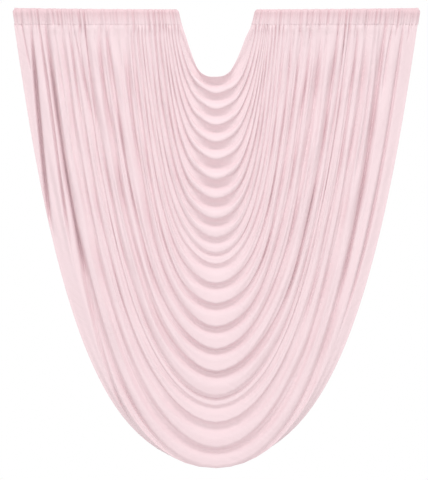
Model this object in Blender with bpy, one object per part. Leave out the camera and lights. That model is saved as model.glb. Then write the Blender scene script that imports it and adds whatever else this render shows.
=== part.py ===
"""A swagged drape panel of one soft cloth, gathered on a rod pocket at its left and at its right.

Every fold of the cloth hangs in a chain curve from the left pocket to the right one. The folds are
numbered from the short neck edge, line 0, to the long outer hem, the last line. The rod's axis is
the X axis through the origin, +Z is up, and the front of the cloth faces -Y. Units are metres.
"""

import math
from collections import namedtuple

import bmesh
import bpy
import numpy as np

# Rod pockets: a 38 mm rod slides through each, and a seam closes each below the rod.
ROD_RADIUS = 0.019
POCKET_RADIUS = 0.025
POCKET_RING_ANGLES = (180, 120, 60, 0)
POCKET_SEAM_Z = -0.079
POCKET_SEAM_HALF_GAP = 0.002
POCKET_SWELL = 0.55
POCKET_TOP_SWELL = 0.12

# Cloth
CLOTH_THICKNESS = 0.002
SEAM_GAP = 0.0005
PANEL_TOP_Z = POCKET_SEAM_Z - SEAM_GAP

# Folds
HANG_Z = ROD_RADIUS
CHAIN_FIRST_GUESS = 3.0
CHAIN_STEPS = 12
GATHER_DEPTH = 0.013
GATHER_RATIO = 0.9
GATHER_REACH = 0.42
PLEAT_START_DEPTH = 0.010
UPRIGHT_FOLD_RATIO = 0.42
LEVEL_FOLD_RATIO = 0.62
FOLD_DEPTH_LIMIT = 0.085
CREST_SKEW = 1.45
CREST_LEAN = 0.16
LEVEL_SHIFT = 0.35
PINCH = 0.45
FORWARD_BOW = 0.045

# Outer hem, which turns back under the last fold and hangs a little left of the middle
HEM_TURN_DEPTH = 0.12
HEM_TURN_RISE = 0.022
HEM_TURN_START = 0.42
HEM_TURN_LEVELS = (0.35, 0.9)
HEM_SWAY = 0.026
HEM_CREST = 0.8
HEM_CREST_AT = 0.35

# Mesh
SPANS_PER_SIDE = 11
SPAN_CROWDING = 1.5
FOLD_STEPS = (0.0, 0.28, 0.55, 0.78)
WIDE_FOLD_STEPS = (0.0, 0.15, 0.3, 0.45, 0.6, 0.75, 0.87)
POCKET_FOLD_STEPS = (0.0, 0.5)
POCKET_WIDE_FOLD_STEPS = (0.0, 0.16, 0.33, 0.5, 0.66, 0.83)
WIDE_FOLD_SPAN = 0.09

# A valley between two folds: how far it drops below the hanging line at the centre, how far from
# the centre it starts on the left and on the right, how full its curve is (1 is a plain chain
# curve, less is fuller), how deep the fold below it is against a usual one, what share of the fold
# the valley moves outwards where it turns from level to upright, and how narrow the crest below
# it is (above 1 the valley is the wider one).
Valley = namedtuple("Valley", "drop left right fullness relief shift narrowness")
VALLEYS = (
    Valley(0.448, 0.249, 0.259, 1.06, 0.80, 0.40, 1.60),
    Valley(0.551, 0.272, 0.285, 1.00, 1.00, 0.40, 1.50),
    Valley(0.657, 0.293, 0.305, 0.98, 1.00, 0.38, 1.50),
    Valley(0.763, 0.312, 0.324, 1.00, 1.05, 0.36, 1.50),
    Valley(0.876, 0.329, 0.335, 1.00, 0.95, 0.36, 1.45),
    Valley(0.989, 0.345, 0.344, 1.00, 1.10, 0.38, 1.45),
    Valley(1.122, 0.361, 0.352, 1.00, 0.95, 0.36, 1.40),
    Valley(1.248, 0.382, 0.362, 0.96, 1.00, 0.32, 1.35),
    Valley(1.381, 0.415, 0.382, 0.97, 1.05, 0.30, 1.30),
    Valley(1.507, 0.451, 0.405, 1.00, 0.85, 0.30, 1.25),
    Valley(1.613, 0.481, 0.431, 1.01, 0.75, 0.24, 1.20),
    Valley(1.679, 0.501, 0.458, 1.02, 0.95, 0.28, 1.20),
    Valley(1.806, 0.524, 0.508, 0.99, 1.00, 0.22, 1.10),
    Valley(1.938, 0.548, 0.561, 0.99, 1.05, 0.28, 1.05),
    Valley(2.091, 0.604, 0.627, 1.03, 0.95, 0.22, 1.00),
    Valley(2.237, 0.717, 0.697, 1.08, 1.00, 0.20, 0.90),
    Valley(2.383, 0.780, 0.821, 1.07, 1.05, 0.15, 0.85),
    Valley(2.562, 0.883, 0.873, 1.08, 0.60, 0.05, 0.90),
    Valley(2.615, 0.913, 0.896, 1.06, 0.80, 0.05, 0.80),
    Valley(2.722, 0.976, 0.946, 1.04, 0.95, 0.05, 0.75),
    Valley(2.894, 1.032, 1.016, 1.05, 0.95, 0.10, 0.70),
    Valley(3.014, 1.138, 1.128, 0.95, 0.80, 0.10, 0.80),
    Valley(3.042, 1.348, 1.354, 0.91, 0.80, 0.00, 0.80),
)
LAST_LINE = len(VALLEYS) - 1
HEM_LINE = LAST_LINE - 1

# A pleat that starts at a rod pocket and is gone further down: its side, the line that it starts
# on, how many lines it drifts outwards, how late it does so (1 is an even drift), its half width
# in lines, its depth, and the height at which it is gone.
Pleat = namedtuple("Pleat", "side line drift lateness width depth gone_z")
PLEATS = (
    Pleat(-1, 14.3, 0.0, 1, 0.16, 0.010, -0.95),
    Pleat(-1, 14.7, 0.0, 1, 0.16, 0.010, -0.80),
    Pleat(-1, 16.5, 0.1, 1, 0.20, 0.010, -0.60),
    Pleat(-1, 18.5, 0.0, 1, 0.22, 0.010, -0.55),
    Pleat(-1, 20.4, 0.0, 1, 0.20, 0.012, -1.25),
    Pleat(-1, 21.1, 0.7, 5, 0.09, 0.018, -2.95),
    Pleat(-1, 21.35, 0.65, 1, 0.11, 0.026, -1.55),
    Pleat(-1, 21.75, 0.1, 1, 0.10, 0.010, -0.60),
    Pleat(1, 15.5, 0.0, 1, 0.20, 0.010, -0.80),
    Pleat(1, 16.5, 0.0, 1, 0.20, 0.010, -0.60),
    Pleat(1, 18.5, 0.0, 1, 0.22, 0.010, -0.90),
    Pleat(1, 20.5, 0.0, 1, 0.20, 0.012, -0.90),
    Pleat(1, 21.3, 0.2, 1, 0.12, 0.012, -2.30),
    Pleat(1, 21.7, 0.0, 1, 0.10, 0.010, -0.50),
)

# Material: blush pink knit, colour in linear RGB.
CLOTH_COLOUR = (0.87, 0.66, 0.69, 1.0)
CLOTH_ROUGHNESS = 0.7


def column(name, line):
    """A column of the valley table, read at line numbers that need not be whole."""
    return np.interp(line, np.arange(LAST_LINE + 1), [getattr(v, name) for v in VALLEYS])


def smooth_step(low, high, value):
    """0 below low, 1 above high, and an even curve between them."""
    share = np.clip((value - low) / (high - low), 0.0, 1.0)
    return share * share * (3 - 2 * share)


def chain(side, line):
    """Drop, half span and chain number of a fold line: the half span is that many chain radii."""
    drop = column("drop", line)
    span = np.where(side < 0, column("left", line), column("right", line))
    number = np.full(np.shape(drop), CHAIN_FIRST_GUESS)
    for _ in range(CHAIN_STEPS):
        excess = (np.cosh(number) - 1) / number - drop / span
        slope = np.sinh(number) / number - (np.cosh(number) - 1) / number**2
        number = number - excess / slope
    return drop, span, number


def line_x(side, line, z):
    """Distance from the centre of a fold line at height z, on the side -1 or +1."""
    drop, span, number = chain(side, line)
    radius = span / number
    rise = np.clip(z - (HANG_Z - drop), 0.0, drop)
    turn = np.arccosh(1 + rise / radius)
    return side * span * (turn / number) ** column("fullness", line)


def hang(across, line):
    """x, z and levelness of the smooth cloth. Across runs from -1 at the left seam, through 0 at
    the centre, to 1 at the right seam. Levelness is 1 where a fold line is level, 0 where upright."""
    side = np.where(across < 0, -1.0, 1.0)
    drop, span, number = chain(side, line)
    radius = span / number
    seam_rise = drop - (HANG_Z - PANEL_TOP_Z)
    along = np.abs(across) ** SPAN_CROWDING * np.sinh(np.arccosh(1 + seam_rise / radius))
    turn = np.arcsinh(along)
    z = HANG_Z - drop + radius * (np.cosh(turn) - 1)
    return line_x(side, line, z), z, 1 / np.sqrt(1 + along**2)


def pleat_depth(across, line, z):
    """How far the pleats press the cloth back: a deep one is full only below the gathers."""
    below_seam = smooth_step(0.0, GATHER_REACH, PANEL_TOP_Z - z)
    depth = np.zeros(np.shape(line))
    for pleat in PLEATS:
        fallen = np.clip(z / pleat.gone_z, 0.0, 1.0)
        middle = pleat.line + pleat.drift * fallen**pleat.lateness
        shape = np.exp(-(((line - middle) / pleat.width) ** 2)) * (1 - fallen**2)
        start = min(pleat.depth, PLEAT_START_DEPTH)
        full = start + (pleat.depth - start) * below_seam
        depth += np.where(across * pleat.side > 0, full * shape, 0.0)
    return depth


def gather_depth(side, line):
    """Depth of the pleats at a pocket, at a line: less where the folds are narrow."""
    widths = [column(name, line + 0.5) - column(name, line - 0.5) for name in ("left", "right")]
    return np.minimum(GATHER_DEPTH, GATHER_RATIO * np.where(side < 0, *widths))


def fold_height(line, skew, narrowness):
    """Height of the cloth in its fold: 0 in the valleys and 1 on the crest between them. Past the
    last valley the cloth comes forward once and lies half way to its edge."""
    phase = np.clip(line, 0, HEM_LINE) % 1.0
    fold = ((1 - np.cos(2 * math.pi * phase**skew)) / 2) ** narrowness
    into_hem = np.clip(line - HEM_LINE, 0.0, 1.0)
    hem = HEM_CREST * smooth_step(0.0, HEM_CREST_AT, into_hem)
    hem -= (HEM_CREST - 0.5) * smooth_step(HEM_CREST_AT, 1.0, into_hem)
    return np.where(line < HEM_LINE, fold, hem)


def drape(across, line):
    """The cloth's points: across from -1 to 1 and line from 0 to LAST_LINE, as equal arrays."""
    x, z, level = hang(across, line)
    side = np.where(across < 0, -1.0, 1.0)
    upright = np.sqrt(np.clip(1 - level**2, 0, 1))
    above_x, above_z, _ = hang(across, np.clip(line - 0.5, 0, HEM_LINE - 1))
    below_x, below_z, _ = hang(across, np.clip(line + 0.5, 1, HEM_LINE))
    pitch = np.abs((below_x - above_x) * side * upright - (below_z - above_z) * level)

    turning = 4 * level * (1 - level)
    below_seam = smooth_step(0.0, GATHER_REACH, PANEL_TOP_Z - z)
    shift = column("shift", line) * (LEVEL_SHIFT + (1 - LEVEL_SHIFT) * turning) * below_seam
    cowl = level * below_seam
    narrowness = 1 + (column("narrowness", line - 0.5) - 1) * cowl
    height = fold_height(line - shift, 1 + (CREST_SKEW - 1) * cowl, narrowness)
    gather = gather_depth(side, line)
    ratio = UPRIGHT_FOLD_RATIO + (LEVEL_FOLD_RATIO - UPRIGHT_FOLD_RATIO) * level
    full = np.minimum(ratio * pitch, FOLD_DEPTH_LIMIT) * (1 + PINCH * turning)
    depth = gather + (full * column("relief", line - 0.5) - gather) * below_seam

    into_hem = np.clip(line - HEM_LINE, 0.0, 1.0)
    turned = smooth_step(*HEM_TURN_LEVELS, level) * smooth_step(HEM_TURN_START, 1.0, into_hem)
    bow = FORWARD_BOW * (1 - across**2) ** 2 * smooth_step(0.0, 1.0, -z)
    forward = bow + depth * (height - 0.5)
    forward -= pleat_depth(across, line, z) + HEM_TURN_DEPTH * turned
    lean = CREST_LEAN * level * cowl * pitch * height * (1 - into_hem)
    sway = HEM_SWAY * into_hem * level
    return x + side * upright * lean - sway, -forward, z - level * lean + HEM_TURN_RISE * turned


def fold_rows(side, steps, wide_steps):
    """Line numbers of the mesh's rows: more of them in a fold that is wide at the rod."""
    rows = []
    for number in range(LAST_LINE):
        spans = column("right" if side > 0 else "left", np.array([number, number + 1]))
        in_fold = wide_steps if spans[1] - spans[0] > WIDE_FOLD_SPAN else steps
        rows += [number + step for step in in_fold]
    return np.array(rows + [LAST_LINE])


def cloth_material(name):
    material = bpy.data.materials.new(name)
    material.use_nodes = True
    shader = material.node_tree.nodes["Principled BSDF"]
    shader.inputs["Base Color"].default_value = CLOTH_COLOUR
    shader.inputs["Roughness"].default_value = CLOTH_ROUGHNESS
    shader.inputs["Metallic"].default_value = 0.0
    return material


def add_sheet(name, points, closed_round):
    """A sheet through a grid of points, thickened to the cloth. Points run (row, place, xyz)."""
    rows, places, _ = points.shape
    sheet = bmesh.new()
    grid = [[sheet.verts.new(p) for p in row] for row in points]
    for r in range(rows - 1):
        for c in range(places if closed_round else places - 1):
            after = (c + 1) % places
            sheet.faces.new((grid[r][c], grid[r][after], grid[r + 1][after], grid[r + 1][c]))
    bmesh.ops.recalc_face_normals(sheet, faces=sheet.faces)
    mesh = bpy.data.meshes.new(name)
    sheet.to_mesh(mesh)
    sheet.free()
    mesh.shade_smooth()
    mesh.materials.append(cloth_material(name + "_knit"))
    piece = bpy.data.objects.new(name, mesh)
    bpy.context.scene.collection.objects.link(piece)
    thicken = piece.modifiers.new("cloth thickness", "SOLIDIFY")
    thicken.thickness = CLOTH_THICKNESS
    thicken.offset = 0.0


def swag_panel():
    """The draped cloth between the two seams, one sheet from the neck edge to the turned hem."""
    lines = fold_rows(1, FOLD_STEPS, WIDE_FOLD_STEPS)
    across = np.linspace(-1, 1, 2 * SPANS_PER_SIDE + 1)
    line, place = np.meshgrid(lines, across, indexing="ij")
    points = np.stack(drape(place, line), axis=-1)
    add_sheet("swag_panel", points, False)


def pocket_ring(depth, height):
    """The pocket's section, y and z from the front seam, over the rod, to the back seam, in a
    pleat of that depth. Height is how far the cloth stands out there, from 0 to 1."""
    nested = -depth * (height - 0.5)
    seam_z = POCKET_SEAM_Z + CLOTH_THICKNESS / 2
    ring = [(nested - POCKET_SEAM_HALF_GAP, seam_z)]
    for angle in POCKET_RING_ANGLES:
        turn = math.radians(angle)
        share = 1 + (POCKET_TOP_SWELL - 1) * math.sin(turn)
        radius = POCKET_RADIUS + POCKET_SWELL * depth * max(height, 0.0) * share
        ring.append((radius * math.cos(turn), radius * math.sin(turn)))
    return ring + [(nested + POCKET_SEAM_HALF_GAP, seam_z)]


def rod_pocket(side, name):
    """The gathered sleeve of one side, open at both ends for the rod."""
    points = []
    for line in fold_rows(side, POCKET_FOLD_STEPS, POCKET_WIDE_FOLD_STEPS):
        depth = gather_depth(side, line)
        height = fold_height(line, 1.0, 1.0) - pleat_depth(side, line, 0.0) / GATHER_DEPTH
        ring = pocket_ring(float(depth), float(height))
        points.append([(float(line_x(side, line, z)), y, z) for y, z in ring])
    add_sheet(name, np.array(points), True)


def main():
    for old in list(bpy.data.objects):
        bpy.data.objects.remove(old)
    swag_panel()
    rod_pocket(-1, "rod_pocket_left")
    rod_pocket(1, "rod_pocket_right")


main()
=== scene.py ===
"""A blush knit swag panel with two gathered rod pockets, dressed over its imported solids.

The cloth hangs in fold lines that run from the left pocket to the right one. Line 0 is the short
neck edge and the last line is the long outer hem. The rod's axis is the X axis through the origin,
+Z is up, and the front of the cloth faces -Y. Units are metres.
"""

import math
from collections import namedtuple

import bpy
import numpy as np
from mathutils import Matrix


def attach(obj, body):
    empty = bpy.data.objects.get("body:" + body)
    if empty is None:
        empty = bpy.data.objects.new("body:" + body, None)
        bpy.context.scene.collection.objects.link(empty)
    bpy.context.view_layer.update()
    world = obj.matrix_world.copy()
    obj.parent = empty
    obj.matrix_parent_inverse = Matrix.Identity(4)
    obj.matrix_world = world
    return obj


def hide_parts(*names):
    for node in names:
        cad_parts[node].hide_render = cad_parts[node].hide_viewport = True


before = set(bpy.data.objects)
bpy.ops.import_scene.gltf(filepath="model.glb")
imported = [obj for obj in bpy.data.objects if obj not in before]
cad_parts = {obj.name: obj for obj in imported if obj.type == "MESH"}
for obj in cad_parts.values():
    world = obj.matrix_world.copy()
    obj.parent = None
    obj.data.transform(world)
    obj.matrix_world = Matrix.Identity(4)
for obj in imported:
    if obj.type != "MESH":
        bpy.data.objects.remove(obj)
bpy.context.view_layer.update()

# Rod pockets
POCKET_RADIUS = 0.0202
POCKET_SEAM_Z = -0.079
POCKET_WRAP = math.radians(110)
POCKET_WRAP_SHARE = 0.6
POCKET_SWELL = 0.014
POCKET_FALL_POWER = 0.9
SEAM_FORWARD = 0.018
POCKET_TOP_SHARE = 0.04
POCKET_OUTER_SLACK = 0.010
POCKET_LIP = 0.0015
POCKET_LIP_REACH = 0.022
POCKET_CORNER = 0.012
POCKET_CORNER_REACH = 0.03
POCKET_OVER_ROD = (-0.3, 0.3)
SEAM_HALF_GAP = 0.0014
SEAM_ALLOWANCE = 0.008
SEAM_GAP = 0.0005
PANEL_TOP_Z = POCKET_SEAM_Z - SEAM_GAP

# Cloth: a single layer is half as thick as the turned hem.
HEM_THICKNESS = 0.0026
SINGLE_LAYER = 0.5
HEM_WIDTH = 0.014
HEM_STEP = 0.0015
EDGE_STEP = 0.0008
HEM_PROBE = 0.02
HEM_MOST_LINES = 0.5

# Folds, on the solids' fold lines. A ratio is a share of the way from one valley to the next.
HANG_Z = 0.019
CHAIN_FIRST_GUESS = 3.0
CHAIN_STEPS = 12
GATHER_DEPTH = 0.015
GATHER_RATIO = 0.45
GATHER_REACH = 0.42
SHIFT_REACH = GATHER_REACH / 4
CREASE_START_DEPTH = 0.013
UPRIGHT_FOLD_RATIO = 0.60
LEVEL_FOLD_RATIO = 0.44
FOLD_DEPTH_LIMIT = 0.085
VALLEY_SHARPNESS = 0.42
CREST_LEAN = 0.25
COWL_RISE = 0.08
COWL_TURN_POWERS = (2.2, 1.7)
PINCH = 0.45
FORWARD_BOW = 0.058
BOW_POWER = 4 / 3

# Level folds: the wall that leans back below each valley, and the ledge that steps forward
WALL_TOP = 0.68
WALL_CURVE = 2.0
LEDGE_RISE = 0.10
LEDGE_TOP = 0.86

# First fold, which starts at the neck edge
NECK_EDGE_FORWARD = 1.3
NECK_RIDGE_SKEW = 2.2
NECK_RIDGE_SHARPNESS = 0.7

# Outer hem, which turns back under the last fold and hangs a little left of the middle
HEM_TURN_DEPTH = 0.08
HEM_TURN_RISE = 0.022
HEM_TURN_START = 0.30
HEM_TURN_LEVELS = (0.35, 0.9)
HEM_SWAY = 0.026
HEM_CREST = 0.85
HEM_CREST_AT = 0.16
HEM_CREST_LOSS = 0.5
HEM_CREST_WIDENING = 0.4
HEM_EDGE = 0.3

# Puckers that the gathering thread makes along the seams
PUCKER_PITCH = 0.029
PUCKER_DEPTH = 0.0042
PUCKER_REACH = 0.030
PUCKER_DRIFT_PITCH = 0.17
PUCKER_DRIFT = 2.2

# Puffs of cloth just below the seams
PUFF_DEPTH = 0.005
PUFF_DROP = 0.030
PUFF_REACH = 0.024

# Unevenness of the folds
WANDER = 0.05
DEPTH_WANDER = 0.25
RIPPLES_PER_FOLD = 3
RIPPLE_RATIO = 0.055

# Mesh
PLACES_PER_SIDE = 62
SEAM_CROWDING = 1.6
FOLD_ROWS = (0.0, 0.06, 0.14, 0.26, 0.37, 0.44, 0.50, 0.56, 0.62, 0.72, 0.82, 0.89, 0.95)
WIDE_FOLD_ROWS = (0.0, 0.04, 0.1, 0.16, 0.22, 0.28, 0.34, 0.41)
WIDE_FOLD_ROWS += (0.49, 0.58, 0.67, 0.75, 0.82, 0.88, 0.93, 0.97)
OUTER_FOLD_ROWS = 62
FIRST_WIDE_FOLD = 9
SLEEVE_ROW_GAP = 0.004
SLEEVE_PLACES = 31
SLEEVE_SAMPLES_PER_LINE = 40

# A valley between two folds: how far it drops below the hanging line at the centre, how far from
# the centre it starts on the left and on the right, how full its curve is (1 is a plain chain
# curve, less is fuller), how deep the fold below it is against a usual one, what share of the fold
# the valley moves outwards where it turns from level to upright, and how far down the fold below it
# the cloth steps forward (its ledge) and falls away again (its brink), as shares of the fold.
Valley = namedtuple("Valley", "drop left right fullness relief shift ledge brink")
VALLEYS = (
    Valley(0.448, 0.249, 0.259, 1.06, 1.12, 0.40, 0.56, 0.86),
    Valley(0.551, 0.272, 0.285, 1.00, 1.12, 0.52, 0.58, 0.85),
    Valley(0.657, 0.293, 0.305, 0.98, 1.12, 0.38, 0.58, 0.85),
    Valley(0.763, 0.312, 0.324, 1.00, 1.18, 0.36, 0.56, 0.85),
    Valley(0.876, 0.329, 0.335, 1.00, 1.06, 0.36, 0.56, 0.84),
    Valley(0.989, 0.345, 0.344, 1.00, 1.23, 0.38, 0.56, 0.84),
    Valley(1.122, 0.361, 0.352, 1.00, 1.06, 0.36, 0.54, 0.84),
    Valley(1.248, 0.382, 0.362, 0.96, 1.12, 0.32, 0.50, 0.84),
    Valley(1.381, 0.415, 0.382, 0.97, 0.96, 0.30, 0.46, 0.85),
    Valley(1.507, 0.451, 0.405, 1.00, 0.70, 0.30, 0.44, 0.82),
    Valley(1.613, 0.481, 0.431, 1.01, 0.61, 0.24, 0.38, 0.78),
    Valley(1.679, 0.501, 0.458, 1.02, 0.78, 0.28, 0.38, 0.85),
    Valley(1.806, 0.524, 0.508, 0.99, 0.82, 0.22, 0.36, 0.86),
    Valley(1.938, 0.548, 0.561, 0.99, 0.86, 0.28, 0.34, 0.87),
    Valley(2.091, 0.604, 0.627, 1.03, 0.78, 0.22, 0.34, 0.87),
    Valley(2.237, 0.717, 0.697, 1.08, 0.82, 0.20, 0.30, 0.87),
    Valley(2.383, 0.780, 0.821, 1.07, 0.86, 0.15, 0.30, 0.86),
    Valley(2.562, 0.883, 0.873, 1.08, 0.49, 0.05, 0.43, 0.72),
    Valley(2.615, 0.913, 0.896, 1.06, 0.66, 0.05, 0.36, 0.82),
    Valley(2.722, 0.976, 0.946, 1.04, 0.78, 0.05, 0.42, 0.88),
    Valley(2.894, 1.032, 1.016, 1.05, 0.66, 0.10, 0.38, 0.78),
    Valley(3.014, 1.138, 1.128, 0.95, 0.57, 0.10, 0.38, 0.82),
    Valley(3.042, 1.348, 1.354, 0.91, 0.57, 0.00, 0.38, 0.82),
)
LAST_LINE = len(VALLEYS) - 1
HEM_LINE = LAST_LINE - 1

# A crease in the cloth: its side, the lines that it lies on at its top, half way down and at its
# low end, the heights of its top and low end, its half width in lines, and its depth. A crease of
# less than no depth is a ridge. One whose top is at height 0 runs up into the pocket.
Crease = namedtuple("Crease", "side top middle low top_z low_z width depth")
CREASES = (
    Crease(-1, 0.66, 0.58, 0.30, 0.00, -0.44, 0.20, 0.010),
    Crease(-1, 12.50, 12.50, 12.50, 0.00, -0.50, 0.12, 0.007),
    Crease(-1, 13.39, 13.60, 13.50, 0.00, -0.95, 0.13, 0.010),
    Crease(-1, 14.59, 14.56, 14.50, 0.00, -0.45, 0.09, 0.009),
    Crease(-1, 14.82, 14.74, 14.60, 0.00, -0.60, 0.08, 0.009),
    Crease(-1, 15.32, 15.48, 15.30, 0.00, -0.75, 0.12, 0.012),
    Crease(-1, 16.32, 16.40, 16.45, 0.00, -0.25, 0.08, 0.008),
    Crease(-1, 17.00, 17.22, 17.55, 0.00, -0.95, 0.11, 0.016),
    Crease(-1, 18.10, 18.05, 18.00, 0.00, -0.12, 0.07, 0.010),
    Crease(-1, 18.85, 18.37, 18.00, 0.00, -0.75, 0.10, 0.018),
    Crease(-1, 19.40, 19.26, 19.26, 0.00, -0.35, 0.07, 0.010),
    Crease(-1, 20.22, 20.22, 20.22, 0.00, -0.12, 0.06, 0.009),
    Crease(-1, 20.54, 20.46, 20.30, 0.00, -1.20, 0.07, 0.026),
    Crease(-1, 20.93, 20.93, 20.95, 0.00, -0.35, 0.06, 0.012),
    Crease(-1, 21.03, 21.00, 21.05, 0.00, -1.85, 0.045, 0.034),
    Crease(-1, 21.24, 21.22, 21.46, 0.00, -1.75, 0.040, 0.032),
    Crease(-1, 21.46, 21.68, 22.02, 0.00, -1.55, 0.055, 0.070),
    Crease(-1, 21.04, 21.22, 21.92, -1.25, -2.95, 0.090, 0.032),
    Crease(-1, 20.86, 20.90, 21.00, -1.50, -2.95, 0.090, 0.014),
    Crease(-1, 21.78, 21.73, 21.68, 0.00, -0.42, 0.035, 0.013),
    Crease(1, 0.66, 0.58, 0.30, 0.00, -0.44, 0.20, 0.010),
    Crease(1, 11.48, 11.55, 11.60, 0.00, -0.30, 0.10, 0.008),
    Crease(1, 12.38, 12.42, 12.40, 0.00, -0.28, 0.09, 0.010),
    Crease(1, 13.28, 13.06, 13.30, 0.00, -0.42, 0.10, 0.011),
    Crease(1, 13.86, 13.78, 13.70, 0.00, -0.28, 0.08, 0.010),
    Crease(1, 14.42, 14.18, 14.10, 0.00, -0.25, 0.09, 0.011),
    Crease(1, 14.95, 14.70, 14.30, -0.12, -1.25, 0.12, -0.008),
    Crease(1, 15.42, 15.52, 15.52, 0.00, -1.70, 0.08, 0.014),
    Crease(1, 16.08, 16.08, 16.20, 0.00, -2.00, 0.07, 0.012),
    Crease(1, 16.84, 16.98, 17.05, 0.00, -0.30, 0.08, 0.011),
    Crease(1, 18.18, 17.90, 17.40, 0.00, -2.10, 0.09, 0.007),
    Crease(1, 18.78, 18.86, 18.90, 0.00, -0.25, 0.07, 0.012),
    Crease(1, 19.12, 19.26, 19.10, 0.00, -2.40, 0.07, 0.008),
    Crease(1, 19.53, 19.53, 19.53, 0.00, -0.14, 0.05, 0.009),
    Crease(1, 19.82, 19.82, 19.82, 0.00, -0.16, 0.06, 0.010),
    Crease(1, 20.46, 20.54, 20.40, 0.00, -1.30, 0.07, 0.018),
    Crease(1, 20.70, 20.80, 20.95, 0.00, -0.55, 0.05, 0.012),
    Crease(1, 21.04, 21.03, 21.00, 0.00, -2.00, 0.045, 0.022),
    Crease(1, 21.30, 21.20, 21.23, 0.00, -0.60, 0.045, 0.014),
    Crease(1, 21.42, 21.39, 21.38, 0.00, -0.18, 0.030, 0.010),
    Crease(1, 21.57, 21.56, 21.48, 0.00, -2.30, 0.050, 0.022),
    Crease(1, 21.75, 21.76, 21.78, 0.00, -0.20, 0.030, 0.010),
    Crease(1, 21.15, 21.30, 21.50, -2.30, -2.90, 0.12, 0.012),
)
CREASE_SEAM_WIDTH = 0.55
CREASE_FADE_IN = 0.25
CREASE_FADE_OUT = 0.3

# How far the valleys lie from their whole line numbers where they hang upright, in lines, on each
# side: at the top, in the middle and low down. Lines between two of these share their ways.
Track = namedtuple("Track", "line left_top left_middle left_low right_top right_middle right_low")
TRACKS = (
    Track(9, 0.10, 0.05, 0.00, 0.00, 0.05, 0.00),
    Track(11, 0.30, 0.00, 0.00, -0.10, 0.20, 0.00),
    Track(12, 0.15, 0.10, 0.10, 0.12, 0.20, 0.05),
    Track(13, 0.40, 0.20, 0.20, 0.30, -0.10, 0.05),
    Track(14, 0.05, 0.04, 0.10, 0.30, 0.00, -0.10),
    Track(15, 0.38, 0.12, 0.00, 0.18, 0.03, 0.02),
    Track(16, 0.18, 0.04, -0.12, 0.05, 0.06, 0.12),
    Track(17, 0.05, -0.05, -0.16, 0.05, 0.15, 0.20),
    Track(18, 0.35, -0.05, -0.10, 0.00, -0.10, -0.50),
    Track(19, 0.26, 0.03, -0.22, 0.22, 0.20, 0.12),
    Track(20, 0.10, 0.02, -0.03, 0.02, 0.00, 0.02),
    Track(21, 0.02, 0.00, 0.00, 0.04, 0.00, 0.00),
)
TRACK_HEIGHTS = (-1.90, -0.90, -0.20)

# How far the neck edge lies outside its chain curve on each side, where it is so level.
NeckEdge = namedtuple("NeckEdge", "level left right")
NECK_EDGE = (
    NeckEdge(0.00, 0.000, -0.002),
    NeckEdge(0.27, -0.006, -0.014),
    NeckEdge(0.40, 0.000, -0.013),
    NeckEdge(0.60, 0.016, -0.003),
    NeckEdge(0.72, 0.019, 0.006),
    NeckEdge(0.90, 0.011, 0.006),
    NeckEdge(1.00, 0.000, 0.000),
)

# Slow waves that keep the folds from being alike: the lines and the height that one wave spans,
# and where it starts, as a share of itself.
Wave = namedtuple("Wave", "lines height start side_start")
WAVES = (
    Wave(2.7, 0.83, 0.13, 0.31),
    Wave(-4.3, 0.47, 0.58, 0.12),
    Wave(1.6, -1.31, 0.29, 0.47),
)

# Stitches
STITCH_LENGTH = 0.0045
STITCH_GAP = 0.0020
THREAD_RADIUS = 0.00035
SEAM_STITCH_RISE = 0.006
HEM_STITCH_INSET = 0.011
STITCH_SEED = 4
STITCH_SIDES = 6
STITCH_SIZES = (0.85, 1.1)
HEM_STITCH_END = 0.995
HEM_STITCH_SAMPLES = 1201
HEM_STITCH_PROBE = 0.01

# Camera: the frame is 428 wide and 480 high, and stands square to the cloth.
FRAME_WIDTH = 428
FRAME_HEIGHT = 480
METRES_PER_PIXEL = 0.006638
CENTRE_COLUMN = 216
HANGING_ROW = 12.8
CAMERA_DISTANCE = 14.0
SENSOR = 36.0

# Studio
FLOOR_Z = -3.3
FLOOR_WIDTH = 7.0
FLOOR_FRONT = -3.5
FLOOR_BACK = 1.1
FRONT_LIGHT = {"From Min": -0.3, "From Max": 0.6, "To Min": 0.77, "To Max": 1.0}
LOW_LIGHT = {"From Min": -0.75, "From Max": -0.15, "To Min": 0.55, "To Max": 1.0}

SoftBox = namedtuple("SoftBox", "name place size power")
SOFT_BOXES = (
    SoftBox("soft box above", (0.3, -6.0, 7.8), (5.5, 3.6), 430.0),
    SoftBox("soft box in front", (-0.4, -8.0, 0.6), (2.8, 2.8), 130.0),
)
LIGHT_TARGET = (0.0, 0.0, -1.4)
FLOOR_GREY = (0.82, 0.82, 0.82, 1.0)
FLOOR_ROUGHNESS = 0.9
ROOM_WHITE = (1.0, 1.0, 1.0, 1.0)

# Grains of the cloth and the thread: noise that is stretched, and how fine and detailed it is
Grain = namedtuple("Grain", "stretch scale detail")
SLUB = Grain((1.0, 6.0, 1.0), 60.0, 3.0)
SHADE = Grain((1.0, 1.6, 1.0), 3.2, 2.0)
STREAK = Grain((1.5, 36.0, 1.0), 1.0, 2.5)
FIBRE = Grain((1.0, 1.0, 1.0), 900.0, 2.0)

# Knit
WALE_PITCH = 0.0028
COURSE_PITCH = 0.0036
WALE_SWING = 1.3
WALE_HEIGHT = 0.3
LOOP_HEIGHT = 0.35
SLUB_HEIGHT = 0.9
STREAK_HEIGHT = 14.0
KNIT_BUMP = {"Strength": 0.35, "Distance": 0.0006}
KNIT_SHEEN = {
    "Specular IOR Level": 0.15,
    "Sheen Weight": 0.05,
    "Sheen Roughness": 0.35,
    "Sheen Tint": (1.0, 0.93, 0.94, 1.0),
}
BLUSH = (0.81, 0.650, 0.676, 1.0)
DEEP_BLUSH = (0.795, 0.612, 0.643, 1.0)
PALE_BLUSH = (0.825, 0.685, 0.706, 1.0)
SLUB_PALENESS = 0.5
LOOP_PALENESS = 0.06
ROUGHNESS = 0.45
GRAIN_ROUGHNESS = 0.2

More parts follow.
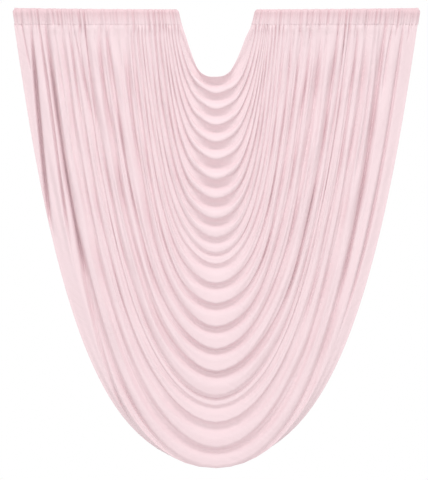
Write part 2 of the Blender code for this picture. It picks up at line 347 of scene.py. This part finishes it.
# Painted shade on the pockets, deepening the colour towards the top over the rod: the heights where
# it starts and ends, and that colour
ROD_SHADE_HEIGHTS = (-0.088, 0.026)
ROD_SHADE_TONE = (0.740, 0.540, 0.570, 1.0)

# Thread
THREAD_PINK = (0.815, 0.665, 0.69, 1.0)
THREAD_BUMP = {"Strength": 0.4, "Distance": 0.0002}
THREAD_SHEEN = 0.2

KNIT_UV = "knit"
THICKNESS_GROUP = "layers"


def column(name, line):
    """A column of the valley table, read at line numbers that need not be whole."""
    return np.interp(line, np.arange(LAST_LINE + 1), [getattr(v, name) for v in VALLEYS])


def smooth_step(low, high, value):
    """0 below low, 1 above high, and an even curve between them."""
    share = np.clip((value - low) / (high - low), 0.0, 1.0)
    return share * share * (3 - 2 * share)


def side_of(share):
    """-1 on the left of the middle, and 1 on the right."""
    return np.where(share < 0, -1.0, 1.0)


def below_seam(z, reach):
    """0 at the seams, and 1 from a reach below them."""
    return smooth_step(0.0, reach, PANEL_TOP_Z - z)


def chain(side, line):
    """Drop, half span and chain number of a fold line: the half span is that many chain radii."""
    drop = column("drop", line)
    span = np.where(side < 0, column("left", line), column("right", line))
    number = np.full(np.shape(drop), CHAIN_FIRST_GUESS)
    for _ in range(CHAIN_STEPS):
        excess = (np.cosh(number) - 1) / number - drop / span
        slope = np.sinh(number) / number - (np.cosh(number) - 1) / number**2
        number = number - excess / slope
    return drop, span, number


def line_x(side, line, z):
    """Distance from the centre of a fold line at height z, on the side -1 or +1."""
    drop, span, number = chain(side, line)
    radius = span / number
    rise = np.clip(z - (HANG_Z - drop), 0.0, drop)
    turn = np.arccosh(1 + rise / radius)
    return side * span * (turn / number) ** column("fullness", line)


def hang(share, line):
    """x, z and levelness of the smooth cloth. The share of the line's length from its middle runs
    from -1 at the left seam to 1 at the right. Levelness is 1 where a line is level, 0 upright."""
    side = side_of(share)
    drop, span, number = chain(side, line)
    radius = span / number
    seam_rise = drop - (HANG_Z - PANEL_TOP_Z)
    along = np.abs(share) * np.sinh(np.arccosh(1 + seam_rise / radius))
    z = HANG_Z - drop + radius * (np.cosh(np.arcsinh(along)) - 1)
    return line_x(side, line, z), z, 1 / np.sqrt(1 + along**2)


def wave(number, side, line, z):
    """One of the slow waves, from -1 to 1."""
    w = WAVES[number]
    return np.sin(2 * math.pi * (line / w.lines + z / w.height + w.start + side * w.side_start))


def crease_depth(side, line, z):
    """How far the creases press the cloth back. A deep one is full only below the gathers."""
    full_share = below_seam(z, GATHER_REACH)
    depth = np.zeros(np.shape(line))
    for crease in CREASES:
        fallen = np.clip((crease.top_z - z) / (crease.top_z - crease.low_z), 0.0, 1.0)
        place = crease.top * (1 - fallen) * (1 - 2 * fallen)
        place += crease.middle * 4 * fallen * (1 - fallen)
        place += crease.low * fallen * (2 * fallen - 1)
        width = crease.width * (CREASE_SEAM_WIDTH + (1 - CREASE_SEAM_WIDTH) * full_share)
        shape = np.exp(-(((line - place) / width) ** 2))
        shape *= smooth_step(0.0, CREASE_FADE_OUT, 1 - fallen)
        if crease.top_z < 0:
            shape *= smooth_step(0.0, CREASE_FADE_IN, fallen)
        start = np.sign(crease.depth) * min(abs(crease.depth), CREASE_START_DEPTH)
        full = start + (crease.depth - start) * full_share
        depth += np.where(side == crease.side, full * shape, 0.0)
    return depth


def pucker(x, z):
    """How far the gathering thread's puckers stand out, near the seams."""
    drift = PUCKER_DRIFT * np.sin(2 * math.pi * x / PUCKER_DRIFT_PITCH)
    reach = np.exp(-(((z - POCKET_SEAM_Z) / PUCKER_REACH) ** 2))
    return PUCKER_DEPTH * reach * np.sin(2 * math.pi * x / PUCKER_PITCH + drift)


def gather_depth(side, line):
    """Depth of the pleats at a pocket, at a line: less where the folds are narrow."""
    widths = [column(name, line + 0.5) - column(name, line - 0.5) for name in ("left", "right")]
    return np.minimum(GATHER_DEPTH, GATHER_RATIO * np.where(side < 0, *widths))


def puff(z):
    """How far a pleat stands out below its seam, as a share of the most."""
    below = (PANEL_TOP_Z - z - PUFF_DROP) / PUFF_REACH
    return np.exp(-(below**2))


def fold_height(line, cowl):
    """How far forward the cloth lies in its fold: about 0 in the valleys and 1 on the crest. Where
    cowl is 0 the fold is upright, a broad ridge between sharp valleys. Where cowl is 1 it is level:
    a wall that leans back as it goes down, a ledge that steps forward, and a fall from the brink to
    the next wall. Past the last valley the cloth comes forward once and falls back to its edge."""
    inner = np.clip(line, 0, HEM_LINE)
    phase = inner % 1.0
    at_neck = inner < 1
    turned = math.pi * np.where(at_neck, phase**NECK_RIDGE_SKEW, phase)
    sharpness = np.where(at_neck, NECK_RIDGE_SHARPNESS, VALLEY_SHARPNESS)
    ridge = np.abs(np.sin(turned)) ** (2 * sharpness)
    ledge = column("ledge", inner - 0.5)
    wall_top = np.where(at_neck, NECK_EDGE_FORWARD, WALL_TOP)
    wall = wall_top * (1 - np.minimum(phase / ledge, 1.0)) ** WALL_CURVE
    rise = LEDGE_TOP * smooth_step(-LEDGE_RISE, LEDGE_RISE, phase - ledge)
    rise += (1 - LEDGE_TOP) * phase
    fallen = smooth_step(column("brink", inner - 0.5), 1.0, phase)
    shelf = wall + rise + (WALL_TOP - rise) * fallen
    fold = ridge + (shelf - ridge) * cowl
    into_hem = np.clip(line - HEM_LINE, 0.0, 1.0)
    crest = HEM_CREST - HEM_CREST_LOSS * cowl
    crest_at = HEM_CREST_AT + HEM_CREST_WIDENING * cowl
    hem = crest * smooth_step(0.0, crest_at, into_hem)
    hem -= (crest - HEM_EDGE) * smooth_step(crest_at, 1.0, into_hem)
    hem += WALL_TOP * cowl * (1 - into_hem) ** 2
    return np.where(line < HEM_LINE, fold, hem)


def track(side, line, z):
    """How far the folds lie to the outside of their lines where they hang upright, in lines."""
    at = [t.line for t in TRACKS]
    places = []
    for place in ("_low", "_middle", "_top"):
        ways = [[getattr(t, name + place) for t in TRACKS] for name in ("left", "right")]
        ways = [np.interp(line, at, way, left=0.0, right=0.0) for way in ways]
        places.append(np.where(side < 0, *ways))
    low, middle, top = places
    heights = np.clip(z, TRACK_HEIGHTS[0], TRACK_HEIGHTS[-1])
    upper = smooth_step(TRACK_HEIGHTS[1], TRACK_HEIGHTS[2], heights)
    lower = smooth_step(TRACK_HEIGHTS[1], TRACK_HEIGHTS[0], heights)
    return middle + (top - middle) * upper + (low - middle) * lower


def fold_shift(side, line, z, level):
    """How far the folds lie to the outside of their lines, in lines."""
    power = np.where(side < 0, *COWL_TURN_POWERS)
    turning = level * (1 - level) ** power * (1 + power) * (1 + 1 / power) ** power
    shift = column("shift", line) * turning - COWL_RISE * level**2
    shift += WANDER * wave(0, side, line, z) * (1 - level)
    shift += track(side, line, z) * (1 - level) ** 3
    shift *= np.clip(np.minimum(line, HEM_LINE - line), 0.0, 1.0)
    return shift * below_seam(z, SHIFT_REACH)


def neck_edge_shift(side, line, level):
    """How far the cloth near the neck edge lies outside its line."""
    levels = [e.level for e in NECK_EDGE]
    ways = [[getattr(e, name) for e in NECK_EDGE] for name in ("left", "right")]
    shift = np.where(side < 0, *[np.interp(level, levels, way) for way in ways])
    return shift * np.clip(1 - line, 0.0, 1.0) ** 2


def drape(share, line):
    """Points of the cloth, at a share of a line's length from its middle and a line number."""
    x, z, level = hang(share, line)
    side = side_of(share)
    upright = np.sqrt(np.clip(1 - level**2, 0, 1))
    above_x, above_z, _ = hang(share, np.clip(line - 0.5, 0, HEM_LINE - 1))
    below_x, below_z, _ = hang(share, np.clip(line + 0.5, 1, HEM_LINE))
    pitch = np.abs((below_x - above_x) * side * upright - (below_z - above_z) * level)

    turning = 4 * level * (1 - level)
    free = below_seam(z, GATHER_REACH)
    cowl = level * free
    height = fold_height(line - fold_shift(side, line, z, level), cowl)
    gather = gather_depth(side, line)
    ratio = UPRIGHT_FOLD_RATIO + (LEVEL_FOLD_RATIO - UPRIGHT_FOLD_RATIO) * level
    full = np.minimum(ratio * pitch, FOLD_DEPTH_LIMIT) * (1 + PINCH * turning)
    depth = gather + (full * column("relief", line - 0.5) - gather) * free
    depth *= 1 + DEPTH_WANDER * wave(1, side, line, z) * (1 - level)

    into_hem = np.clip(line - HEM_LINE, 0.0, 1.0)
    turned = smooth_step(*HEM_TURN_LEVELS, level) * smooth_step(HEM_TURN_START, 1.0, into_hem)
    bow = FORWARD_BOW * (1 - np.abs(share) ** BOW_POWER) ** 2 * smooth_step(0.0, 1.0, -z)
    ripple = RIPPLE_RATIO * pitch * (1 - level) * free * (1 + wave(2, side, line, z))
    forward = bow + depth * (height - 0.5) + pucker(x, z) + PUFF_DEPTH * height * puff(z)
    forward += ripple * np.sin(2 * math.pi * RIPPLES_PER_FOLD * line) * (1 - into_hem)
    forward += SEAM_FORWARD * (1 - free)
    forward -= crease_depth(side, line, z) + HEM_TURN_DEPTH * turned
    lean = CREST_LEAN * level * cowl * pitch * height * (1 - into_hem)
    lean *= smooth_step(0.0, 0.5, line)
    lean += neck_edge_shift(side, line, level) * below_seam(z, SHIFT_REACH)
    sway = HEM_SWAY * into_hem * level
    points = (x + side * upright * lean - sway, -forward, z - level * lean + HEM_TURN_RISE * turned)
    return np.stack(points, axis=-1)


def hem_lines(share, edge, inwards, distance):
    """The line numbers that lie a distance inside an edge of the cloth, for each share."""
    start = np.full(np.shape(share), float(edge))
    gap = drape(share, start + inwards * HEM_PROBE) - drape(share, start)
    lines_per_metre = HEM_PROBE / np.linalg.norm(gap, axis=-1)
    return start + inwards * np.minimum(distance * lines_per_metre, HEM_MOST_LINES)


def panel_grid():
    """Shares and line numbers of the panel's rows and places, with each hem on rows of its own,
    and how thick the cloth is there as a share of the hem's thickness."""
    near = np.linspace(0, 1, PLACES_PER_SIDE + 1)[1:]
    half = 1 - (1 - near) ** SEAM_CROWDING
    shares = np.concatenate([-half[::-1], [0.0], half])
    neck = hem_lines(shares, 0, 1, HEM_WIDTH)
    outer = hem_lines(shares, LAST_LINE, -1, HEM_WIDTH)
    rows = [np.zeros_like(shares)]
    rows += [hem_lines(shares, 0, 1, inset) for inset in (EDGE_STEP, HEM_WIDTH - HEM_STEP)]
    for fold in range(LAST_LINE):
        first = neck if fold == 0 else np.full_like(shares, fold)
        after = outer if fold == LAST_LINE - 1 else np.full_like(shares, fold + 1)
        steps = FOLD_ROWS if fold < FIRST_WIDE_FOLD else WIDE_FOLD_ROWS
        if fold == LAST_LINE - 1:
            steps = np.arange(OUTER_FOLD_ROWS) / OUTER_FOLD_ROWS
        for step in steps:
            row = first + (after - first) * step
            if 0 < fold + step < HEM_LINE:
                _, z, level = hang(shares, row)
                row = row + fold_shift(side_of(shares), row, z, level)
            rows.append(row)
    rows.append(outer)
    rows += [hem_lines(shares, LAST_LINE, -1, inset) for inset in (HEM_WIDTH - HEM_STEP, EDGE_STEP)]
    rows.append(np.full_like(shares, LAST_LINE))
    layers = np.full((len(rows), len(shares)), SINGLE_LAYER)
    layers[:3] = layers[-3:] = 1.0
    return np.broadcast_to(shares, layers.shape), np.array(rows), layers


def add_cloth(name, points, layers, material, flip):
    """A sheet through a grid of points, thickened to the cloth, with its knit's UV in metres."""
    rows, places, _ = points.shape
    index = np.arange(rows * places).reshape(rows, places)
    corners = [index[:-1, :-1], index[:-1, 1:], index[1:, 1:], index[1:, :-1]]
    faces = np.stack(corners[::-1] if flip else corners, axis=-1).reshape(-1, 4)
    mesh = bpy.data.meshes.new(name)
    mesh.from_pydata(points.reshape(-1, 3).tolist(), [], faces.tolist())
    along = np.linalg.norm(np.diff(points, axis=1), axis=-1)
    down = np.linalg.norm(np.diff(points, axis=0), axis=-1)
    run = np.pad(np.cumsum(along, axis=1), ((0, 0), (1, 0)))
    run -= run[:, places // 2 : places // 2 + 1]
    fall = np.pad(np.cumsum(down, axis=0), ((1, 0), (0, 0)))
    uv = np.stack([run, fall], axis=-1).reshape(-1, 2)
    corner_index = np.zeros(len(mesh.loops), np.int32)
    mesh.loops.foreach_get("vertex_index", corner_index)
    mesh.uv_layers.new(name=KNIT_UV).data.foreach_set("uv", uv[corner_index].ravel())
    mesh.shade_smooth()
    mesh.materials.append(material)
    cloth = bpy.data.objects.new(name, mesh)
    bpy.context.scene.collection.objects.link(cloth)
    group = cloth.vertex_groups.new(name=THICKNESS_GROUP)
    flat_layers = layers.ravel()
    for layer in np.unique(flat_layers):
        group.add(np.flatnonzero(flat_layers == layer).tolist(), float(layer), "REPLACE")
    thicken = cloth.modifiers.new("cloth thickness", "SOLIDIFY")
    thicken.thickness = HEM_THICKNESS
    thicken.offset = 0.0
    thicken.vertex_group = THICKNESS_GROUP
    thicken.use_rim = True
    return cloth


def panel_points(shares, lines):
    """The panel's grid of points, with a seam allowance that runs up into the pockets."""
    points = drape(shares, lines)
    allowance = points[:, [0, -1]] + (0.0, 0.0, SEAM_ALLOWANCE)
    return np.concatenate([allowance[:, :1], points, allowance[:, 1:]], axis=1)


def sleeve_lines(side):
    """Line numbers an even distance apart along a pocket."""
    lines = np.linspace(0, LAST_LINE, SLEEVE_SAMPLES_PER_LINE * LAST_LINE + 1)
    out = np.abs(line_x(side, lines, POCKET_SEAM_Z))
    count = int((out[-1] - out[0]) / SLEEVE_ROW_GAP)
    return np.interp(np.linspace(out[0], out[-1], count + 1), out, lines)


def sleeve_points(side):
    """A pocket's grid of points: each row goes from the seam in front, over the rod, and down to
    the seam behind. The front stands out where the panel's pleats do, and the back where not."""
    lines = sleeve_lines(side)
    edge = drape(np.full_like(lines, side), lines)
    nested = edge[:, 1]
    front = np.clip(0.5 - (nested + SEAM_FORWARD) / GATHER_DEPTH, 0.0, 1.0)
    from_neck = np.abs(edge[:, 0]) - np.abs(edge[0, 0])
    outer = from_neck / from_neck[-1]
    lip = POCKET_LIP * np.exp(-((from_neck / POCKET_LIP_REACH) ** 2))
    lip += POCKET_LIP * np.exp(-(((from_neck[-1] - from_neck) / POCKET_LIP_REACH) ** 2))
    round_rod = np.linspace(-1, 1, SLEEVE_PLACES)
    near_edge = 1 - EDGE_STEP / -POCKET_SEAM_Z
    round_rod = np.concatenate([[-1.0, -near_edge], round_rod[1:-1], [near_edge, 1.0]])
    facing = np.sign(round_rod)
    turn = POCKET_WRAP * np.minimum(np.abs(round_rod) / POCKET_WRAP_SHARE, 1.0)
    fall = np.clip((np.abs(round_rod) - POCKET_WRAP_SHARE) / (1 - POCKET_WRAP_SHARE), 0.0, 1.0)
    behind = smooth_step(*POCKET_OVER_ROD, round_rod)
    out = front[:, None] * (1 - behind) + (1 - front[:, None]) * behind
    loose = POCKET_TOP_SHARE + (1 - POCKET_TOP_SHARE) * np.sin(np.minimum(turn, math.pi / 2))
    radius = POCKET_RADIUS + POCKET_SWELL * out * loose
    radius += POCKET_OUTER_SLACK * (outer**2)[:, None] + lip[:, None]
    drawn_in = fall**POCKET_FALL_POWER
    y = radius * np.sin(turn) * facing * (1 - drawn_in)
    y += drawn_in * (nested[:, None] + facing * SEAM_HALF_GAP)
    z = radius * np.cos(turn) * (1 - fall) + fall * POCKET_SEAM_Z
    x = line_x(side, np.broadcast_to(lines[:, None], z.shape), z)
    corner = np.exp(-((from_neck / POCKET_CORNER_REACH) ** 2))
    corner -= np.exp(-(((from_neck[-1] - from_neck) / POCKET_CORNER_REACH) ** 2))
    x += side * POCKET_CORNER * corner[:, None] * np.clip(z / POCKET_RADIUS, 0.0, 1.0) ** 2
    return np.stack([x, y, z], axis=-1)


class Value:
    """A shader value. Arithmetic on it adds the Math nodes that work it out."""

    def __init__(self, recipe, socket):
        self.recipe = recipe
        self.socket = socket

    def combine(self, operation, first, second):
        return self.recipe.node("ShaderNodeMath", {"operation": operation}, {0: first, 1: second})

    def __add__(self, other):
        return self.combine("ADD", self, other)

    __radd__ = __add__

    def __mul__(self, other):
        return self.combine("MULTIPLY", self, other)

    __rmul__ = __mul__


class Recipe:
    """One material, and the one place that adds nodes to its tree."""

    def __init__(self, name):
        self.material = bpy.data.materials.new(name)
        self.material.use_nodes = True
        self.tree = self.material.node_tree
        self.shader = self.tree.nodes["Principled BSDF"]

    def feed(self, socket, value):
        if isinstance(value, Value):
            self.tree.links.new(value.socket, socket)
        else:
            socket.default_value = value

    def node(self, kind, settings, sockets, output=0):
        made = self.tree.nodes.new(kind)
        for name, setting in settings.items():
            setattr(made, name, setting)
        for place, value in sockets.items():
            self.feed(made.inputs[place], value)
        return Value(self, made.outputs[output])

    def finish(self, sockets):
        for name, value in sockets.items():
            self.feed(self.shader.inputs[name], value)
        return self.material

    def noise(self, place, grain):
        """A grain, as noise from 0 to 1."""
        placed = self.node("ShaderNodeMapping", {}, {"Vector": place, "Scale": grain.stretch})
        sockets = {"Vector": placed, "Scale": grain.scale, "Detail": grain.detail}
        return self.node("ShaderNodeTexNoise", {"noise_dimensions": "3D"}, sockets)

    def sine(self, value):
        return self.node("ShaderNodeMath", {"operation": "SINE"}, {0: value})

    def blend(self, share, first, second):
        """A colour between two, by a share from 0 to 1."""
        mix = {"data_type": "RGBA", "blend_type": "MIX", "clamp_factor": True}
        return self.node("ShaderNodeMix", mix, {0: share, 6: first, 7: second}, 2)


def knit(name, painted_rod_shade=False):
    """Soft stretch knit: loops in wales and courses, faint slubs and streaks, and a satin sheen.
    On the pockets, painted shade deepens the colour towards the top, over the rod."""
    cloth = Recipe(name)
    uv = cloth.node("ShaderNodeUVMap", {"uv_map": KNIT_UV}, {})
    run = cloth.node("ShaderNodeSeparateXYZ", {}, {0: uv}, 0)
    fall = cloth.node("ShaderNodeSeparateXYZ", {}, {0: uv}, 1)
    wale = cloth.sine(run * (2 * math.pi / WALE_PITCH))
    loop = cloth.sine(fall * (2 * math.pi / COURSE_PITCH) + wale * WALE_SWING)
    slub = cloth.noise(uv, SLUB)
    tone = cloth.blend(cloth.noise(uv, SHADE), DEEP_BLUSH, BLUSH)
    tone = cloth.blend(slub * SLUB_PALENESS, tone, PALE_BLUSH)
    tone = cloth.blend(loop * LOOP_PALENESS + LOOP_PALENESS, tone, PALE_BLUSH)
    # Painted shade: on a pocket the colour deepens with height, towards the top of the rod
    if painted_rod_shade:
        place = cloth.node("ShaderNodeTexCoord", {}, {}, 3)
        rise = cloth.node("ShaderNodeSeparateXYZ", {}, {0: place}, 2)
        limits = {0: rise, 1: ROD_SHADE_HEIGHTS[0], 2: ROD_SHADE_HEIGHTS[1], 3: 0.0, 4: 1.0}
        rod_shade = cloth.node("ShaderNodeMapRange", {"interpolation_type": "SMOOTHSTEP"}, limits)
        tone = cloth.blend(rod_shade, tone, ROD_SHADE_TONE)
    height = wale * WALE_HEIGHT + loop * LOOP_HEIGHT + slub * SLUB_HEIGHT
    height += cloth.noise(uv, STREAK) * STREAK_HEIGHT
    return cloth.finish(
        {
            "Base Color": tone,
            "Roughness": ROUGHNESS + slub * GRAIN_ROUGHNESS,
            "Normal": cloth.node("ShaderNodeBump", {}, {"Height": height, **KNIT_BUMP}),
            **KNIT_SHEEN,
        }
    )


def thread():
    """Twisted sewing thread, a little paler than the knit."""
    twist = Recipe("blush thread")
    place = twist.node("ShaderNodeTexCoord", {}, {}, 3)
    fibre = twist.noise(place, FIBRE)
    return twist.finish(
        {
            "Base Color": twist.blend(fibre, THREAD_PINK, PALE_BLUSH),
            "Roughness": ROUGHNESS + fibre * GRAIN_ROUGHNESS,
            "Normal": twist.node("ShaderNodeBump", {}, {"Height": fibre, **THREAD_BUMP}),
            "Sheen Weight": THREAD_SHEEN,
        }
    )


def stitch_row_tree(material):
    """Geometry nodes that sew a row of stitches along a line of edges."""
    tree = bpy.data.node_groups.new("row of stitches", "GeometryNodeTree")
    sockets = {}
    for name in ("Geometry", "Stitch Length", "Gap", "Thread Radius", "Seed"):
        kind = {"Geometry": "Geometry", "Seed": "Int"}.get(name, "Float")
        made = tree.interface.new_socket(name, in_out="INPUT", socket_type="NodeSocket" + kind)
        sockets[name] = made.identifier
    tree.interface.new_socket("Geometry", in_out="OUTPUT", socket_type="NodeSocketGeometry")

    def add(kind, settings=None, **inputs):
        node = tree.nodes.new(kind)
        for name, setting in (settings or {}).items():
            setattr(node, name, setting)
        for name, value in inputs.items():
            socket = node.inputs[name.replace("_", " ")]
            if isinstance(value, bpy.types.NodeSocket):
                tree.links.new(value, socket)
            else:
                socket.default_value = value
        return node

    given = add("NodeGroupInput").outputs
    pitch = add("ShaderNodeMath", {"operation": "ADD"})
    tree.links.new(given["Stitch Length"], pitch.inputs[0])
    tree.links.new(given["Gap"], pitch.inputs[1])
    line = add("GeometryNodeMeshToCurve", Mesh=given["Geometry"]).outputs["Curve"]
    even = add("GeometryNodeResampleCurve", {"mode": "LENGTH"}, Curve=line, Length=pitch.outputs[0])
    stitch = add(
        "GeometryNodeMeshCylinder",
        Vertices=STITCH_SIDES,
        Radius=given["Thread Radius"],
        Depth=given["Stitch Length"],
    )
    tangent = add("GeometryNodeInputTangent").outputs["Tangent"]
    turned = add("FunctionNodeAlignRotationToVector", {"axis": "Z"}, Vector=tangent)
    uneven = add("FunctionNodeRandomValue", {"data_type": "FLOAT"}, Seed=given["Seed"])
    uneven.inputs[2].default_value, uneven.inputs[3].default_value = STITCH_SIZES
    placed = add(
        "GeometryNodeInstanceOnPoints",
        Points=even.outputs["Curve"],
        Instance=stitch.outputs["Mesh"],
        Rotation=turned.outputs["Rotation"],
        Scale=uneven.outputs[1],
    )
    real = add("GeometryNodeRealizeInstances", Geometry=placed.outputs["Instances"])
    painted = add("GeometryNodeSetMaterial", Geometry=real.outputs["Geometry"], Material=material)
    tree.links.new(painted.outputs["Geometry"], add("NodeGroupOutput").inputs[0])
    return tree, sockets


def add_stitches(name, points, tree, sockets):
    """A row of stitches along points, as a plain mesh."""
    mesh = bpy.data.meshes.new(name + " line")
    edges = [(i, i + 1) for i in range(len(points) - 1)]
    mesh.from_pydata(points.tolist(), edges, [])
    guide = bpy.data.objects.new(name + " line", mesh)
    bpy.context.scene.collection.objects.link(guide)
    sew = guide.modifiers.new("stitches", "NODES")
    sew.node_group = tree
    sew[sockets["Stitch Length"]] = STITCH_LENGTH
    sew[sockets["Gap"]] = STITCH_GAP
    sew[sockets["Thread Radius"]] = THREAD_RADIUS
    sew[sockets["Seed"]] = STITCH_SEED
    evaluated = guide.evaluated_get(bpy.context.evaluated_depsgraph_get())
    sewn = bpy.data.meshes.new_from_object(evaluated)
    sewn.name = name
    bpy.data.objects.remove(guide)
    row = bpy.data.objects.new(name, sewn)
    bpy.context.scene.collection.objects.link(row)
    return row


def facing_out(points, along, across):
    """Points moved to the front face of the hem, by the normal of two directions there."""
    normal = np.cross(along, across)
    normal /= np.linalg.norm(normal, axis=-1, keepdims=True)
    normal *= -np.sign(normal[..., 1:2])
    return points + normal * (HEM_THICKNESS / 2)


def hem_stitch_points(edge, inwards):
    """The line of stitches on a hem, an even distance inside its edge."""
    shares = np.linspace(-HEM_STITCH_END, HEM_STITCH_END, HEM_STITCH_SAMPLES)
    lines = hem_lines(shares, edge, inwards, HEM_STITCH_INSET)
    points = drape(shares, lines)
    across = drape(shares, lines + HEM_STITCH_PROBE) - points
    return facing_out(points, np.gradient(points, axis=0), across)


def seam_stitch_points(points, front):
    """The line of stitches just above a pocket's seam, on its front or its back."""
    low, high = (points[:, 0], points[:, 1]) if front else (points[:, -1], points[:, -2])
    share = SEAM_STITCH_RISE / (high - low)[:, 2:3]
    outwards = (0.0, -1.0 if front else 1.0, 0.0)
    return low + (high - low) * share + np.multiply(outwards, HEM_THICKNESS * SINGLE_LAYER / 2)


def dress_panel():
    shares, lines, layers = panel_grid()
    points = panel_points(shares, lines)
    layers = np.pad(layers, ((0, 0), (1, 1)), mode="edge")
    panel = add_cloth("draped_panel", points, layers, knit("panel knit"), True)
    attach(panel, "root")
    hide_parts("swag_panel")
    return panel


def dress_pocket(side, name):
    points = sleeve_points(side)
    layers = np.full(points.shape[:2], SINGLE_LAYER)
    # The pocket knit carries painted shade that deepens towards the top, over the rod
    cloth = knit(name + " pocket knit", painted_rod_shade=True)
    sleeve = add_cloth(name + "_pocket_sleeve", points, layers, cloth, side < 0)
    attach(sleeve, "root")
    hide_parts("rod_pocket_" + name)
    return sleeve, points


def aim(thing, target):
    direction = np.subtract(target, thing.location)
    thing.rotation_euler = (
        math.atan2(math.hypot(direction[0], direction[1]), -direction[2]),
        0.0,
        math.atan2(-direction[0], direction[1]),
    )


def add_light(box):
    light = bpy.data.lights.new(box.name, "AREA")
    light.shape = "RECTANGLE"
    light.size, light.size_y = box.size
    light.energy = box.power
    lamp = bpy.data.objects.new(box.name, light)
    bpy.context.scene.collection.objects.link(lamp)
    lamp.location = box.place
    aim(lamp, LIGHT_TARGET)


def set_studio():
    """A pale floor, soft light from above and in front, and a white room, dimmer from below."""
    half = FLOOR_WIDTH / 2
    corners = [(x, y, FLOOR_Z) for x, y in ((-half, FLOOR_FRONT), (half, FLOOR_FRONT))]
    corners += [(x, y, FLOOR_Z) for x, y in ((half, FLOOR_BACK), (-half, FLOOR_BACK))]
    mesh = bpy.data.meshes.new("floor")
    mesh.from_pydata(corners, [], [(0, 1, 2, 3)])
    floor = bpy.data.objects.new("floor", mesh)
    bpy.context.scene.collection.objects.link(floor)
    paint = Recipe("pale floor")
    mesh.materials.append(paint.finish({"Base Color": FLOOR_GREY, "Roughness": FLOOR_ROUGHNESS}))
    room = bpy.data.worlds.new("white room")
    room.use_nodes = True
    nodes, links = room.node_tree.nodes, room.node_tree.links
    way = nodes.new("ShaderNodeSeparateXYZ")
    links.new(nodes.new("ShaderNodeTexCoord").outputs["Generated"], way.inputs[0])
    light = nodes.new("ShaderNodeMath")
    light.operation = "MULTIPLY"
    for place, (axis, limits) in enumerate((("Y", FRONT_LIGHT), ("Z", LOW_LIGHT))):
        shade = nodes.new("ShaderNodeMapRange")
        shade.interpolation_type = "SMOOTHSTEP"
        links.new(way.outputs[axis], shade.inputs["Value"])
        for name, value in limits.items():
            shade.inputs[name].default_value = value
        links.new(shade.outputs["Result"], light.inputs[place])
    links.new(light.outputs[0], nodes["Background"].inputs["Strength"])
    nodes["Background"].inputs["Color"].default_value = ROOM_WHITE
    bpy.context.scene.world = room
    for box in SOFT_BOXES:
        add_light(box)
    bpy.context.scene.view_settings.view_transform = "Standard"


def set_camera():
    """A level camera square to the cloth, whose frame is the photo's."""
    camera = bpy.data.cameras.new("camera")
    stand = bpy.data.objects.new("camera", camera)
    bpy.context.scene.collection.objects.link(stand)
    x = (FRAME_WIDTH / 2 - CENTRE_COLUMN) * METRES_PER_PIXEL
    z = -(FRAME_HEIGHT / 2 - HANGING_ROW) * METRES_PER_PIXEL
    stand.location = (x, -CAMERA_DISTANCE, z)
    stand.rotation_euler = (math.pi / 2, 0.0, 0.0)
    camera.sensor_width = SENSOR
    camera.lens = SENSOR * CAMERA_DISTANCE / (FRAME_HEIGHT * METRES_PER_PIXEL)
    bpy.context.scene.camera = stand


def sew_stitches(left_points, right_points):
    """Every row of stitches, by its name."""
    tree, sockets = stitch_row_tree(thread())
    rows = {
        "neck_hem_stitches": hem_stitch_points(0, 1),
        "outer_hem_stitches": hem_stitch_points(LAST_LINE, -1),
        "left_seam_stitches": seam_stitch_points(left_points, True),
        "right_seam_stitches": seam_stitch_points(right_points, True),
        "left_back_stitches": seam_stitch_points(left_points, False),
        "right_back_stitches": seam_stitch_points(right_points, False),
    }
    sewn = {name: add_stitches(name, points, tree, sockets) for name, points in rows.items()}
    for row in sewn.values():
        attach(row, "root")
    return sewn


def declare_sheets(left, right, sewn):
    """Gathers each pocket's seam and back stitches, and does nothing more with them."""
    for name, sleeve in (("left", left), ("right", right)):
        seams = [sewn[name + "_seam_stitches"], sewn[name + "_back_stitches"]]


def main():
    panel = dress_panel()
    left, left_points = dress_pocket(-1, "left")
    right, right_points = dress_pocket(1, "right")
    declare_sheets(left, right, sew_stitches(left_points, right_points))
    set_studio()
    set_camera()


main()
